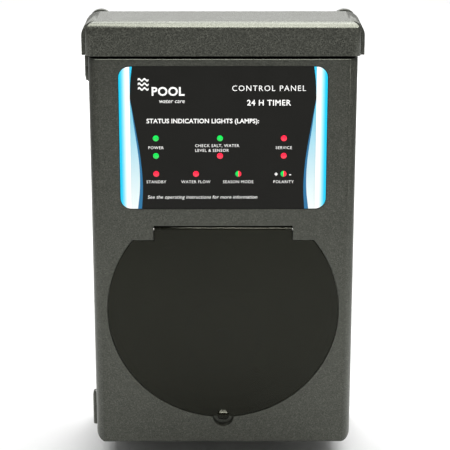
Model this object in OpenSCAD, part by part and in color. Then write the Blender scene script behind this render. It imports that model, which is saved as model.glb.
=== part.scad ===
/* [Enclosure] */
// Width of the case and the front cover, in millimetres
body_w = 211.6; // [206:0.2:214]
// Height of the case and the front cover
body_h = 326; // [322:1:332]
// Depth of the rear case, from the wall to the joint line
case_d = 80; // [80:1:90]
// Depth of the front cover, from the joint line to its face
cover_d = 30; // [28:1:32]
// Thickness of the moulded walls
wall = 3.5; // [3.5:0.1:3.6]
// Radius of the two bottom corners, seen from the front
corner_r = 10; // [8:1:14]
// Radius of the cover's two upright front edges
edge_r = 8; // [6:1:9]

/* [Hood] */
// Width of the hood's front cap
hood_w = 215.6; // [214:0.2:217]
// Width of the hood's rear rim
rim_w = 221.2; // [220:0.2:224]
// Height of the hood's front face
hood_h = 27; // [26:1:30]
// Depth of the hood, from front to back
hood_d = 50; // [48:1:54]
// Radius of the hood's top front edge
hood_r = 7; // [5:0.5:8]

/* [Window] */
// Radius of the round window door
window_r = 94; // [90:1:94]
// Half the width of the window door's hinge tab
tab_half_w = 55.5; // [50:0.5:58]
// Clearance around the window door
window_gap = 0.7; // [0.6:0.1:0.9]

/* [Label] */
// Width of the label plate
label_w = 164.6; // [150:0.2:166]
// Height of the label plate
label_h = 116; // [110:1:117]

/* [Timer] */
// Number of switching tappets around the timer's dial
tappets = 48; // [24:24:48]
// Radius of the timer's dial
dial_r = 28; // [26:1:28]

/* [Wall mounting] */
// Distance between the wall screws, across
ear_pitch_x = 204; // [200:1:206]
// Distance between the wall screws, up and down
ear_pitch_z = 348; // [346:1:352]
// Radius of each wall screw hole
ear_hole_r = 2.75; // [2:0.25:3]

/* [Hidden] */
$fn = 64;

// Colours of the mouldings and metals
GREY = "#4b4c48";
BLACK = "#1b1b1a";
STEEL = "#a9abad";
BRASS = "#c2a24e";
BOARD = "#1f5a36";

// Main planes. The wall is y = 0, and the object faces -Y
half_w = body_w / 2;
half_h = body_h / 2;
joint_gap = 0.4;
joint_y = -case_d;
cover_y = joint_y - joint_gap;
face_y = -case_d - cover_d;
inner_face_y = face_y + wall;

// Hood planes
hood_z0 = half_h + 2;
hood_z1 = hood_z0 + hood_h;
hood_y0 = face_y - 2;
hood_y1 = hood_y0 + hood_d;
hood_wall = 3;
hood_boss_x = 80;
hood_boss_y = hood_y1 - 10;
rim_y0 = hood_y0 + 6;
rim_r = 12;
cap_r = 10;

// Window door, with its centre at window_z
window_z = -45.5;
shoulder_z = window_z + 59.2;
tab_z = window_z + 71.2;
door_y0 = face_y + 0.2;
door_t = 2.6;
barrel_r = 2.8;
door_axis_y = door_y0 + barrel_r;
door_axis_z = tab_z - barrel_r;
door_pin_r = 1.2;
grip_z = window_z - 92.7;
ledge_r = 89.2;

// Label plate
label_z = window_z + 144.2;
label_r = 9;
label_t = 0.8;
label_gap = 0.4;
label_y0 = face_y + 0.1;

// Indicator lights: [x, z] from the body's centre
led_r = 2.35;
led_row_z = [98.8, 84.5, 69.7];
led_col_x = [-53.3, -2.5, 48.1];
leds_green_at = [[led_col_x[0], led_row_z[0]], [led_col_x[1], led_row_z[0]], [led_col_x[0], led_row_z[1]]];
leds_red_at = [[led_col_x[2], led_row_z[0]], [led_col_x[1], led_row_z[1]], [led_col_x[2], led_row_z[1]],
               [led_col_x[0], led_row_z[2]], [-21.6, led_row_z[2]]];
leds_two_at = [[12.1, led_row_z[2]], [led_col_x[2], led_row_z[2]]];
leds_at = concat(leds_green_at, leds_red_at, leds_two_at);
led_board_y = face_y + 9;
led_board_t = 1.6;
led_board_size = [134, 52];
led_board_z = 84;
led_board_posts = [for (sx = [-1, 1], sz = [-1, 1]) [sx * 62, led_board_z + sz * 21]];

// Control pod behind the window door
pod_r = 92;
pod_wall = 2.5;
pod_y0 = face_y + 6.2;
ledge_y = door_y0 + door_t + 1;
pod_y1 = joint_y + 4;
panel_y = pod_y1 - pod_wall;
pod_back = pod_y1 + 2;
panel_screws_at = [for (a = [20, 160, 200, 340]) [86.9 * cos(a), window_z + 86.9 * sin(a)]];
pod_lug_r = 97;
pod_lugs = [for (a = [45, 135, 225, 315]) [pod_lug_r * cos(a), window_z + pod_lug_r * sin(a)]];
pod_lug_y = face_y + 9;

// Controls on the pod's floor: [x, z]
timer_at = [0, window_z - 32];
timer_w = 74;
knob_at = [0, window_z + 41];
mode_at = [-44, window_z + 38];
season_at = [44, window_z + 38];
boost_at = [-63, window_z - 8];
reset_at = [63, window_z - 8];
knob_r = 12;
rocker_size = [15, 21];
tappet_r = dial_r + 5;
slider_at = [timer_at[0] + 28, timer_at[1] - 31];

// Cover hinges on the left side
hinge_x = -half_w - 2;
hinge_y = joint_y - joint_gap / 2;
knuckle_r = 2.6;
hinge_pin_r = 1.25;
hinge_clear = 0.3;
low_hinge_z = [5 - half_h, 35 - half_h];
top_hinge_z = [half_h - 23, half_h];

// Wall ears: each has a tongue let into the case's back, held by one screw
ear_tongue = 2.4;
ear_screws_at = [for (sx = [-1, 1], sz = [-1, 1]) [sx * (ear_pitch_x / 2 - 4), sz * (half_h - 6)]];

// Gasket groove in the case's rim, measured in from the outside
groove_in = 1.8;
groove_w = 1.2;
groove_d = 1.5;

// Parts inside the case
core_at = [-44, -38, 100];
core_size = [86, 40, 72];
board_y = -12;
board_t = 1.6;
board_at = [55, 22];
board_size = [88, 170];
board_posts = [for (sx = [-1, 1], sz = [-1, 1]) [board_at[0] + sx * 39, board_at[1] + sz * 80]];
sink_at = [-56, -8];
sink_size = [78, 84];
block_at = [-8, -112];
block_w = 96;
gland_x = [-62, -14, 34];
gland_y = -40;
gland_r = 10;
cable_r = 4.5;

// ---------- shared shapes ----------

// Extrudes a shape drawn in x and z from y0 to y1
module along_y(y0, y1) {
    translate([0, y1, 0]) rotate([90, 0, 0]) linear_extrude(y1 - y0) children();
}

// Extrudes a shape drawn in y and z from x0 to x1
module along_x(x0, x1) {
    translate([x0, 0, 0]) rotate([90, 0, 90]) linear_extrude(x1 - x0) children();
}

module rod_x(r, x0, x1, y, z) {
    translate([x0, y, z]) rotate([0, 90, 0]) cylinder(r = r, h = x1 - x0);
}

module rod_y(r, y0, y1, at) {
    translate([at[0], y1, at[1]]) rotate([90, 0, 0]) cylinder(r = r, h = y1 - y0);
}

// A round bar along y that is r_back at y1 and r_front at y0
module cone_y(r_back, r_front, y0, y1, at) {
    translate([at[0], y1, at[1]]) rotate([90, 0, 0]) cylinder(r1 = r_back, r2 = r_front, h = y1 - y0);
}

module box(low, high) {
    translate(low) cube(high - low);
}

module rounded_rect(w, h, r) {
    square([w - 2 * r, h], center = true);
    square([w, h - 2 * r], center = true);
    for (sx = [-1, 1], sy = [-1, 1])
        translate([sx * (w / 2 - r), sy * (h / 2 - r)]) circle(r);
}

// Front outline of the body: square at the top, rounded at the bottom
module body_outline(inset) {
    r = corner_r - inset;
    w = half_w - inset;
    h = half_h - inset;
    translate([-w, r - h]) square([2 * w, 2 * h - r]);
    translate([r - w, -h]) square([2 * (w - r), 2 * h - r]);
    for (s = [-1, 1]) translate([s * (w - r), r - h]) circle(r);
}

// Level section of the front cover, in x and y, with rounded front edges
module cover_section(inset) {
    r = edge_r - inset;
    w = half_w - inset;
    y0 = face_y + inset;
    translate([-w, y0 + r]) square([2 * w, case_d - joint_y - y0 - r - case_d]);
    translate([r - w, y0]) square([2 * (w - r), -y0 + joint_y]);
    for (s = [-1, 1]) translate([s * (w - r), y0 + r]) circle(r);
}

// Side profile of the cover, in y and z, with small rounded edges at top and bottom
module cover_profile(r) {
    translate([face_y + r, -half_h - 1]) square([cover_d + 1, body_h + 2]);
    translate([face_y, r - half_h]) square([cover_d, body_h - 2 * r]);
    for (s = [-1, 1]) translate([face_y + r, s * (half_h - r)]) circle(r);
}

module window_outline(grow) {
    intersection() {
        translate([0, window_z]) circle(window_r + grow, $fn = 96);
        translate([-window_r - 5, window_z - window_r - 5])
            square([2 * window_r + 10, shoulder_z + grow - window_z + window_r + 5]);
    }
    translate([-tab_half_w - grow, window_z])
        square([2 * (tab_half_w + grow), tab_z + grow - window_z]);
}

// A pan-head screw along y, with its head at the +Y end when dir is 1 and the -Y end when dir is -1
module screw_y(at, head_y, length, dir, r = 1.45, head_r = 2.8, head_h = 2) {
    translate([at[0], head_y, at[1]]) rotate([dir > 0 ? 90 : -90, 0, 0]) difference() {
        union() {
            cylinder(r = r, h = length);
            translate([0, 0, -head_h]) cylinder(r1 = head_r - 0.5, r2 = head_r, h = head_h);
        }
        for (a = [0, 90]) rotate([0, 0, a])
            translate([-head_r, -0.35, -head_h - 1]) cube([2 * head_r, 0.7, 1 + head_h / 2]);
    }
}

// ---------- case ----------

module knuckle(z0, z1, r0, r1, side) {
    translate([hinge_x, hinge_y, z0]) cylinder(r1 = r0, r2 = r1, h = z1 - z0);
    web_r = min(r0, r1);
    y0 = side > 0 ? joint_y : cover_y - 5;
    y1 = side > 0 ? joint_y + 5 : cover_y;
    box([hinge_x, y0, z0], [hinge_x + web_r, y1, z1]);
}

module hinge_relief(z0, z1) {
    translate([hinge_x, hinge_y, z0 - hinge_clear])
        cylinder(r = knuckle_r + hinge_clear, h = z1 - z0 + 2 * hinge_clear);
}

low_split_z = (low_hinge_z[0] + low_hinge_z[1]) / 2;
top_split_z = (top_hinge_z[0] + top_hinge_z[1]) / 2;
split_gap = 0.2;

module case_knuckles() {
    difference() {
        union() {
            knuckle(low_hinge_z[0], low_split_z - split_gap, knuckle_r, knuckle_r, 1);
            knuckle(top_split_z + split_gap, top_hinge_z[1], knuckle_r, knuckle_r, 1);
        }
        pin_bores(0);
    }
}

module cover_knuckles() {
    taper = 4;
    difference() {
        union() {
            knuckle(low_split_z + split_gap, low_hinge_z[1] - taper, knuckle_r, knuckle_r, -1);
            knuckle(low_hinge_z[1] - taper, low_hinge_z[1], knuckle_r, 1.9, -1);
            knuckle(top_hinge_z[0] + taper, top_split_z - split_gap, knuckle_r, knuckle_r, -1);
            knuckle(top_hinge_z[0], top_hinge_z[0] + taper, 1.9, knuckle_r, -1);
        }
        pin_bores(0.05);
    }
}

module pin_bores(clear) {
    for (z = [low_hinge_z, top_hinge_z])
        translate([hinge_x, hinge_y, z[0] - 1]) cylinder(r = hinge_pin_r + clear, h = z[1] - z[0] + 2);
}

module cover_hinge_pins() {
    color(STEEL) for (z = [low_hinge_z, top_hinge_z])
        translate([hinge_x, hinge_y, z[0] + 0.5]) cylinder(r = hinge_pin_r, h = z[1] - z[0] - 1);
}

module ear_plan(sx, sz, grow) {
    x = sx * ear_pitch_x / 2;
    z = sz * (half_h - 6);
    translate([x - sx * 4 - 7 - grow, z - 6 - grow]) square([14 + 2 * grow, 12 + 2 * grow]);
}

module wall_ears() {
    ear_r = 10;
    ear_t = 5;
    color(GREY) for (sx = [-1, 1], sz = [-1, 1]) {
        x = sx * ear_pitch_x / 2;
        z = sz * ear_pitch_z / 2;
        difference() {
            union() {
                rod_y(ear_r, -ear_t, 0, [x, z]);
                along_y(-ear_t, 0) translate([x - ear_r, min(z, sz * (half_h + 0.1))])
                    square([2 * ear_r, abs(z) - half_h - 0.1]);
                along_y(-ear_tongue, 0) ear_plan(sx, sz, 0);
                along_y(-ear_tongue, 0) translate([x - sx * 4 - 7, min(z, sz * (half_h - 3))])
                    square([14, abs(z) - half_h + 3]);
            }
            rod_y(ear_hole_r, -ear_t - 1, 1, [x, z]);
            rod_y(1.7, -ear_t, 1, [x - sx * 4, sz * (half_h - 6)]);
            rod_y(3.1, -1.2, 1, [x - sx * 4, sz * (half_h - 6)]);
        }
    }
}

module ear_screws() {
    color(STEEL) for (p = ear_screws_at) difference() {
        union() {
            rod_y(1.45, -8, -1.3, p);
            cone_y(2.9, 2.9, -1.2, -0.1, p);
            rod_y(1.45, -1.3, -1.1, p);
        }
        for (a = [0, 90]) translate([p[0], 0, p[1]]) rotate([0, a, 0]) box([-2, -0.7, -0.35], [2, 1, 0.35]);
    }
}

module vent_slots(count, pitch, y0, y1, z0, z1, slot_w) {
    for (i = [0 : count - 1]) {
        x = (i - (count - 1) / 2) * pitch;
        box([x - slot_w / 2, y0, z0], [x + slot_w / 2, y1, z1]);
    }
}

module rear_case() {
    color(GREY) {
        difference() {
            union() {
                along_y(joint_y, 0) body_outline(0);
            }
            difference() {
                along_y(joint_y - 1, -wall) body_outline(wall);
                for (p = ear_screws_at) rod_y(5, -9, 0, p);
            }
            for (sx = [-1, 1], sz = [-1, 1]) along_y(-ear_tongue, 1) {
                ear_plan(sx, sz, 0.1);
                translate([sx * ear_pitch_x / 2 - sx * 4 - 7.1, min(sz * half_h, sz * (half_h - 3)) - 1])
                    square([14.2, 5]);
            }
            for (p = ear_screws_at) rod_y(1.5, -8.2, 0, p);
            // gasket groove
            along_y(joint_y - 1, joint_y + groove_d) difference() {
                body_outline(groove_in);
                body_outline(groove_in + groove_w);
            }
            // warm air leaves through the top wall into the hood
            vent_slots(13, 9, joint_y + 4, hood_y1 - hood_wall - 2, half_h - wall - 1, half_h + 1, 3.5);
            // cool air enters through the bottom wall
            vent_slots(9, 7, -24, -10, -half_h - 1, wall - half_h + 1, 3);
            for (x = gland_x) translate([x, gland_y, -half_h - 1]) cylinder(r = gland_r + 0.2, h = wall + 2);
            for (sx = [-1, 1]) translate([sx * hood_boss_x, hood_boss_y, half_h - wall - 1])
                cylinder(r = 2.3, h = wall + 2);
            // room for the cover's knuckles
            hinge_relief(low_split_z - split_gap + hinge_clear, low_hinge_z[1]);
            hinge_relief(top_hinge_z[0], top_split_z + split_gap - hinge_clear);
        }
        case_knuckles();
        for (p = board_posts) difference() {
            rod_y(4, board_y, -wall + 0.5, p);
            rod_y(1.5, board_y - 1, board_y + 7, p);
        }
        for (p = transformer_feet) difference() {
            rod_y(5.5, -9, -wall + 0.5, p);
            rod_y(2.1, -10, -wall - 0.5, p);
        }
        for (p = sink_feet) difference() {
            rod_y(4, -8, -wall + 0.5, p);
            rod_y(1.5, -9, -wall - 0.5, p);
        }
    }
}

module case_gasket() {
    color("#202020") along_y(joint_y - 0.2, joint_y + groove_d) difference() {
        body_outline(groove_in);
        body_outline(groove_in + groove_w);
    }
}

// ---------- hood ----------

module hood_front(w, r, y0, y1) {
    along_y(y0, y1) {
        translate([-w / 2, hood_z0]) square([w, hood_h - r]);
        translate([r - w / 2, hood_z0]) square([w - 2 * r, hood_h]);
        for (s = [-1, 1]) translate([s * (w / 2 - r), hood_z1 - r]) circle(r);
    }
}

module hood_cap_edges() {
    upright_r = 5;
    // side profile with the rounded top front edge
    along_x(-rim_w / 2, rim_w / 2) {
        translate([hood_y0, hood_z0]) square([hood_d, hood_h - hood_r]);
        translate([hood_y0 + hood_r, hood_z0]) square([hood_d - hood_r, hood_h]);
        translate([hood_y0 + hood_r, hood_z1 - hood_r]) circle(hood_r);
    }
}

module hood_upright_edges() {
    upright_r = 5;
    translate([0, 0, hood_z0]) linear_extrude(hood_h) {
        translate([upright_r - hood_w / 2, hood_y0]) square([hood_w - 2 * upright_r, hood_d]);
        translate([-hood_w / 2, hood_y0 + upright_r]) square([hood_w, hood_d - upright_r]);
        for (s = [-1, 1]) translate([s * (hood_w / 2 - upright_r), hood_y0 + upright_r]) circle(upright_r);
    }
}

module top_hood() {
    color(GREY) {
        difference() {
            union() {
                intersection() {
                    hood_front(hood_w, cap_r, hood_y0, hood_y1);
                    hood_cap_edges();
                    hood_upright_edges();
                }
                intersection() {
                    hood_front(rim_w, rim_r, rim_y0, hood_y1);
                    hood_cap_edges();
                }
                // skirt that stands on the case's top wall
                box([-half_w, hood_y1 - hood_wall, half_h], [half_w, hood_y1, hood_z0 + 1]);
                for (s = [-1, 1])
                    box([min(s * half_w, s * (half_w - hood_wall)), joint_y + 0.5, half_h],
                        [max(s * half_w, s * (half_w - hood_wall)), hood_y1, hood_z0 + 1]);
            }
            // hollow inside, open below
            intersection() {
                box([hood_wall - half_w, hood_y0 + hood_wall, half_h - 1],
                    [half_w - hood_wall, hood_y1 - hood_wall, hood_z1 - hood_wall]);
                hood_front(hood_w - 2 * hood_wall, cap_r - hood_wall, hood_y0, hood_y1 + 1);
            }
            box([hood_wall - half_w, hood_y0 + hood_wall, half_h - 1],
                [half_w - hood_wall, hood_y1 - hood_wall, hood_z1 - cap_r]);
            vent_slots(17, 9, hood_y1 - hood_wall - 1, hood_y1 + 1, hood_z0 + 5, hood_z0 + 17, 4);
        }
        // rain baffle that hangs over the joint line
        box([-half_w, joint_y - 5, half_h + 1.2], [half_w, joint_y - 3, hood_z1 - hood_wall + 0.5]);
        for (s = [-1, 1]) difference() {
            translate([s * hood_boss_x, hood_boss_y, half_h]) cylinder(r = 4.5, h = hood_z1 - hood_wall - half_h + 0.5);
            translate([s * hood_boss_x, hood_boss_y, half_h - 1]) cylinder(r = 1.7, h = 15);
        }
    }
}

module hood_screws() {
    color(STEEL) for (s = [-1, 1]) translate([s * hood_boss_x, hood_boss_y, half_h - wall]) difference() {
        union() {
            cylinder(r = 1.65, h = 14);
            translate([0, 0, -2.4]) cylinder(r1 = 3.2, r2 = 3.7, h = 2.4);
        }
        for (a = [0, 90]) rotate([0, 0, a]) translate([-3, -0.4, -3]) cube([6, 0.8, 1.8]);
    }
}

// ---------- front cover ----------

module finger_scoop(grow) {
    scoop_r = 8.9;
    y0 = face_y - (grow > 0 ? 0 : 0.5);
    cone_y(scoop_r - 1 + grow, scoop_r + grow, y0, face_y + 5 + grow * 0.8, [0, window_z - 94.2]);
}

module cover_shell() {
    small_r = 2;
    difference() {
        intersection() {
            along_y(face_y, cover_y) body_outline(0);
            translate([0, 0, -half_h]) linear_extrude(body_h) cover_section(0);
            along_x(-half_w, half_w) cover_profile(small_r);
        }
        intersection() {
            along_y(inner_face_y, cover_y + 1) body_outline(wall);
            translate([0, 0, -half_h]) linear_extrude(body_h) cover_section(wall);
        }
    }
}

module cover_bosses() {
    for (p = led_board_posts) difference() {
        rod_y(3.2, inner_face_y - 0.5, led_board_y, p);
        rod_y(1.5, inner_face_y, led_board_y + 1, p);
    }
    for (p = pod_lugs) rod_y(4, inner_face_y - 0.5, pod_lug_y, p);
    // seats for the window door's hinge pins
    seat_x = tab_half_w + window_gap;
    for (s = [-1, 1]) difference() {
        box([min(s * seat_x, s * (seat_x + 7)), inner_face_y - 0.5, door_axis_z - 4],
            [max(s * seat_x, s * (seat_x + 7)), door_axis_y + 2.4, door_axis_z + 4]);
    }
}

module snap_tab(z) {
    x1 = half_w - wall;
    box([x1 - 2.3, cover_y - 10, z - 8], [x1 + 0.5, cover_y, z + 8]);
    box([x1 - 2.3, cover_y - 10, z - 8], [x1 - 0.4, joint_y + 6, z + 8]);
}

module front_cover() {
    color(GREY) {
        difference() {
            union() {
                cover_shell();
                // ledge behind the window door
                intersection() {
                    along_y(inner_face_y - 0.5, pod_y0) difference() {
                        translate([0, window_z]) circle(pod_r + 6);
                        translate([0, window_z]) circle(ledge_r);
                    }
                    box([-half_w, face_y, -half_h + wall], [half_w, 0, window_z + 55]);
                }
                cover_bosses();
                intersection() {
                    finger_scoop(2);
                    box([-20, inner_face_y - 0.5, -half_h], [20, joint_y, window_z - pod_r - 0.3]);
                }
            }
            along_y(face_y - 1, ledge_y) window_outline(window_gap);
            along_y(face_y - 1, inner_face_y + 0.1) intersection() {
                window_outline(window_gap);
                translate([-half_w, window_z + 55]) square([body_w, 30]);
            }
            intersection() {
                finger_scoop(0);
                box([-20, face_y - 1, -half_h], [20, joint_y, window_z - pod_r + 6]);
            }
            along_y(face_y - 1, label_y0 + label_t) translate([0, label_z])
                rounded_rect(label_w + 2 * label_gap, label_h + 2 * label_gap, label_r + label_gap);
            for (p = leds_at) rod_y(led_r + 0.25, face_y - 1, inner_face_y + 1, p);
            for (p = pod_lugs) rod_y(1.5, inner_face_y, pod_lug_y + 1, p);
            for (s = [-1, 1]) rod_x(door_pin_r + 0.05, s > 0 ? tab_half_w : -tab_half_w - 7, s > 0 ? tab_half_w + 7 : -tab_half_w,
                door_axis_y, door_axis_z);
            hinge_relief(low_hinge_z[0], low_split_z + split_gap - hinge_clear);
            hinge_relief(top_split_z - split_gap + hinge_clear, top_hinge_z[1]);
        }
        cover_knuckles();
        snap_tab(105);
        snap_tab(-105);
    }
}

module label_plate() {
    color("#22231f") difference() {
        along_y(label_y0, label_y0 + label_t) translate([0, label_z]) rounded_rect(label_w, label_h, label_r);
        for (p = leds_at) rod_y(led_r + 0.15, face_y - 1, inner_face_y, p);
    }
}

module led(at) {
    rod_y(led_r, label_y0, led_board_y, at);
    intersection() {
        rod_y(led_r, label_y0 - 1, label_y0, at);
        translate([at[0], label_y0 + 6.5, at[1]]) sphere(r = 6.9);
    }
}

module leds_green() { color("#00c040") for (p = leds_green_at) led(p); }

module leds_red() { color("#f01838") for (p = leds_red_at) led(p); }

module leds_two_colour() { color("#c09040") for (p = leds_two_at) led(p); }

module led_board() {
    color(BOARD) difference() {
        along_y(led_board_y, led_board_y + led_board_t) translate([0, led_board_z])
            square(led_board_size, center = true);
        for (p = led_board_posts) rod_y(1.7, led_board_y - 1, led_board_y + led_board_t + 1, p);
    }
}

module led_board_screws() {
    color(STEEL) for (p = led_board_posts) screw_y(p, led_board_y + led_board_t, 6, 1);
}

module led_resistors() {
    y0 = led_board_y + led_board_t;
    color("#3a3a38") for (i = [0 : 9])
        box([-50 + i * 11 - 2, y0, led_board_z - 12], [-50 + i * 11 + 2, y0 + 1, led_board_z - 9.5]);
    color(BLACK) box([-14, y0, led_board_z - 4], [14, y0 + 3, led_board_z + 6]);
}

module board_connector() {
    y0 = led_board_y + led_board_t;
    color("#e8e4d8") difference() {
        box([-52, y0, led_board_z + 6], [-30, y0 + 8, led_board_z + 13]);
        box([-51, y0 + 2, led_board_z + 7], [-31, y0 + 9, led_board_z + 12]);
    }
}

// ---------- window door ----------

module window_door() {
    color([0.09, 0.085, 0.07, 0.85]) {
        difference() {
            union() {
                along_y(door_y0, door_y0 + door_t) difference() {
                    window_outline(0);
                    translate([-tab_half_w - 1, door_axis_z]) square([2 * tab_half_w + 2, 10]);
                }
                rod_x(barrel_r, -tab_half_w, tab_half_w, door_axis_y, door_axis_z);
                intersection() {
                    rod_x(5, -8, 8, door_y0 + 2.5, grip_z);
                    rod_y(4.7, face_y - 10, door_y0 + door_t, [0, grip_z]);
                    box([-8, face_y - 10, grip_z - 6], [8, door_y0 + door_t, grip_z + 6]);
                }
            }
            for (s = [-1, 1]) rod_x(door_pin_r, s > 0 ? tab_half_w - 6 : -tab_half_w - 1,
                s > 0 ? tab_half_w + 1 : 6 - tab_half_w, door_axis_y, door_axis_z);
        }
    }
}

module window_hinge_pins() {
    color(STEEL) for (s = [-1, 1]) rod_x(door_pin_r, s > 0 ? tab_half_w - 5.5 : -tab_half_w - 6,
        s > 0 ? tab_half_w + 6 : 5.5 - tab_half_w, door_axis_y, door_axis_z);
}

module window_bumpers() {
    color("#202020") for (s = [-1, 1])
        rod_y(1.8, door_y0 + door_t, ledge_y - 0.1, [s * 64.6, window_z - 64.6]);
}

// ---------- control pod ----------

module rocker_hole(at) {
    along_y(panel_y - 1, pod_y1 + 1) translate(at) square([rocker_size[0] - 2, rocker_size[1] - 2], center = true);
}

module control_pod() {
    color(BLACK) difference() {
        union() {
            rod_y(pod_r, pod_y0, pod_back, [0, window_z]);
            for (p = pod_lugs) {
                rod_y(4.5, pod_lug_y, pod_lug_y + 2.5, p);
                intersection() {
                    rod_y(pod_r + 3, pod_lug_y, pod_lug_y + 2.5, [0, window_z]);
                    rod_y(7, pod_lug_y, pod_lug_y + 2.5, p);
                }
            }
        }
        rod_y(pod_r - pod_wall, pod_y0 - 1, pod_y1, [0, window_z]);
        rod_y(pod_r - pod_wall - 5, pod_y0 - 1, pod_back + 1, [0, window_z]);
        for (p = pod_lugs) rod_y(1.7, pod_lug_y - 1, pod_lug_y + 4, p);
        for (p = panel_screws_at) rod_y(1.2, pod_y1 - 1, pod_back + 1, p);
    }
}

module control_panel() {
    color(BLACK) difference() {
        rod_y(pod_r - pod_wall - 0.1, panel_y, pod_y1, [0, window_z]);
        for (p = panel_screws_at) rod_y(1.4, panel_y - 1, pod_y1 + 1, p);
        along_y(panel_y - 1, pod_y1 + 1) translate(timer_at) square(timer_w - 8, center = true);
        rod_y(4, panel_y - 1, pod_y1 + 1, knob_at);
        rod_y(6.2, panel_y - 1, pod_y1 + 1, boost_at);
        rod_y(5.2, panel_y - 1, pod_y1 + 1, reset_at);
        rocker_hole(mode_at);
        rocker_hole(season_at);
    }
}

module panel_screws() {
    color(STEEL) for (p = panel_screws_at)
        screw_y(p, panel_y, 4.6, -1, r = 1.15, head_r = 2.2, head_h = 1.5);
}

module pod_screws() {
    color(STEEL) for (p = pod_lugs) screw_y(p, pod_lug_y + 2.5, 7, 1);
}

// ---------- timer ----------

timer_face_y = panel_y - 5;

module timer_bezel() {
    color("#c9c9c2") difference() {
        union() {
            along_y(timer_face_y, panel_y) translate(timer_at) rounded_rect(timer_w, timer_w, 4);
            // fixed pointer at the top of the dial
            along_y(timer_face_y - 0.8, timer_face_y + 0.5) translate(timer_at + [0, tappet_r + 1])
                polygon([[0, 0], [1.5, 2.6], [-1.5, 2.6]]);
        }
        rod_y(tappet_r + 0.8, timer_face_y - 1, panel_y - 1.2, timer_at);
        rod_y(5, timer_face_y - 1, panel_y + 1, timer_at);
        along_y(timer_face_y - 1, panel_y - 1.2) translate(slider_at) square([13, 4.4], center = true);
    }
}

module timer_case() {
    size = timer_w - 9;
    color("#e6e3d6") difference() {
        along_y(panel_y, -50) translate(timer_at) rounded_rect(size, size, 3);
        rod_y(5, panel_y - 1, panel_y + 6, timer_at);
    }
}

module timer_dial() {
    y0 = timer_face_y - 1.5;
    color("#eeeeea") difference() {
        union() {
            rod_y(dial_r, y0, panel_y - 1.6, timer_at);
            rod_y(dial_r - 9, y0 - 1, y0, timer_at);
            rod_y(4.6, panel_y - 1.6, panel_y + 5, timer_at);
        }
        rod_y(3, y0 - 2, y0 + 2, timer_at);
        for (i = [0 : 23]) {
            a = i * 15;
            translate([timer_at[0], y0 - 0.01, timer_at[1]]) rotate([0, a, 0])
                translate([-0.3, -0.5, dial_r - (i % 6 == 0 ? 7 : 4)]) cube([0.6, 0.8, 3]);
        }
    }
}

module timer_tappets() {
    step = 360 / tappets;
    y0 = timer_face_y - 2.6;
    color("#3b6fb5") for (i = [0 : tappets - 1])
        translate([timer_at[0], 0, timer_at[1]]) rotate([0, i * step, 0])
            box([-1.45, y0 + (i < tappets * 0.35 ? 1.1 : 0), dial_r + 0.05], [1.45, panel_y - 1.7, tappet_r]);
}

module timer_hub() {
    y0 = timer_face_y - 6.5;
    color("#3b6fb5") difference() {
        union() {
            cone_y(8, 7, y0, timer_face_y - 2.5, timer_at);
            rod_y(2.95, timer_face_y - 2.5, timer_face_y + 0.4, timer_at);
        }
        // arrow cut into the hub's face
        for (a = [-28, 28]) translate([timer_at[0], y0 - 0.5, timer_at[1] + 5.4]) rotate([0, a, 0])
            box([-0.5, 0, -6], [0.5, 1.2, 0]);
    }
}

module override_slider() {
    color("#c03028") translate([slider_at[0], 0, slider_at[1]]) {
        box([-2.4, timer_face_y - 2.4, -1.9], [2.4, panel_y - 1.5, 1.9]);
        for (x = [-1.5, 0, 1.5]) box([x - 0.3, timer_face_y - 2.9, -1.9], [x + 0.3, timer_face_y - 2.4, 1.9]);
    }
}

// ---------- knob, rockers and buttons ----------

knob_y0 = panel_y - 15;

module output_knob() {
    color(BLACK) difference() {
        union() {
            rod_y(knob_r - 1.1, knob_y0, knob_y0 + 1.2, knob_at);
            along_y(knob_y0 + 1, panel_y - 3.5) translate(knob_at) difference() {
                circle(knob_r);
                for (i = [0 : 17]) rotate(i * 20) translate([knob_r + 0.5, 0]) circle(1.3);
            }
            rod_y(knob_r + 1.6, panel_y - 3.6, panel_y - 2, knob_at);
        }
        rod_y(3.05, panel_y - 12, panel_y, knob_at);
        translate([knob_at[0], 0, knob_at[1]]) box([-0.7, knob_y0 - 1, 3.5], [0.7, knob_y0 + 0.8, knob_r + 1]);
    }
}

module knob_insert() {
    color("#f2f2ee") translate([knob_at[0], 0, knob_at[1]])
        box([-0.65, knob_y0 + 0.1, 3.6], [0.65, knob_y0 + 0.75, knob_r - 1.3]);
}

module output_potentiometer() {
    color("#8a8d90") {
        rod_y(8.5, pod_y1, pod_y1 + 9, knob_at);
        rod_y(3.7, panel_y, pod_y1, knob_at);
        rod_y(2.95, panel_y - 11.5, panel_y, knob_at);
        for (x = [-5, 0, 5]) box([knob_at[0] + x - 0.8, pod_y1 + 2, knob_at[1] - 14],
            [knob_at[0] + x + 0.8, pod_y1 + 2.6, knob_at[1] - 8]);
    }
}

module potentiometer_nut() {
    color(STEEL) difference() {
        rod_y_hex(6.2, panel_y - 1.8, panel_y, knob_at);
        rod_y(3.1, panel_y - 3, panel_y + 1, knob_at);
    }
}

module rod_y_hex(r, y0, y1, at) {
    translate([at[0], y1, at[1]]) rotate([90, 0, 0]) cylinder(r = r, h = y1 - y0, $fn = 6);
}

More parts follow.
